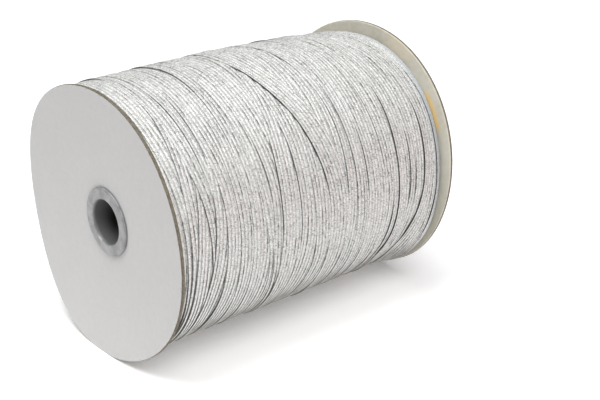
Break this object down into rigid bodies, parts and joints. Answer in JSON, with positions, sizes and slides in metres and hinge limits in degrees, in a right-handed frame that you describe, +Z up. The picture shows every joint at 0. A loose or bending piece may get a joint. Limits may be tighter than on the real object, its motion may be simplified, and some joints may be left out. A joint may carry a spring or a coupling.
{
  "type": "roll of elastic on a spool",
  "caption": "Flat silver elastic wound on a card spool with two round card flanges and grey plastic hubs, lying on its side.",
  "frame": {"origin": "on the surface that the spool lies on, under the middle of the whole roll", "axes": "+X along the spool's axis from the near flange, with its open outer face, to the far one; +Z up"},
  "size_m": [0.136, 0.104, 0.1039],
  "materials": {
    "silver_elastic": "braided elastic with metallised thread, glittering",
    "white_paper": "white paper on grey card, matt",
    "beige_board": "plain beige board, matt",
    "brown_card": "plain brown card, matt",
    "grey_plastic": "moulded grey plastic, scuffed satin"
  },
  "bodies": {
    "root": {"core_tube": "brown_card", "flange_near": "white_paper", "flange_far": "beige_board", "hub_near": "grey_plastic", "hub_far": "grey_plastic", "winding": "silver_elastic"}
  },
  "joints": []
}
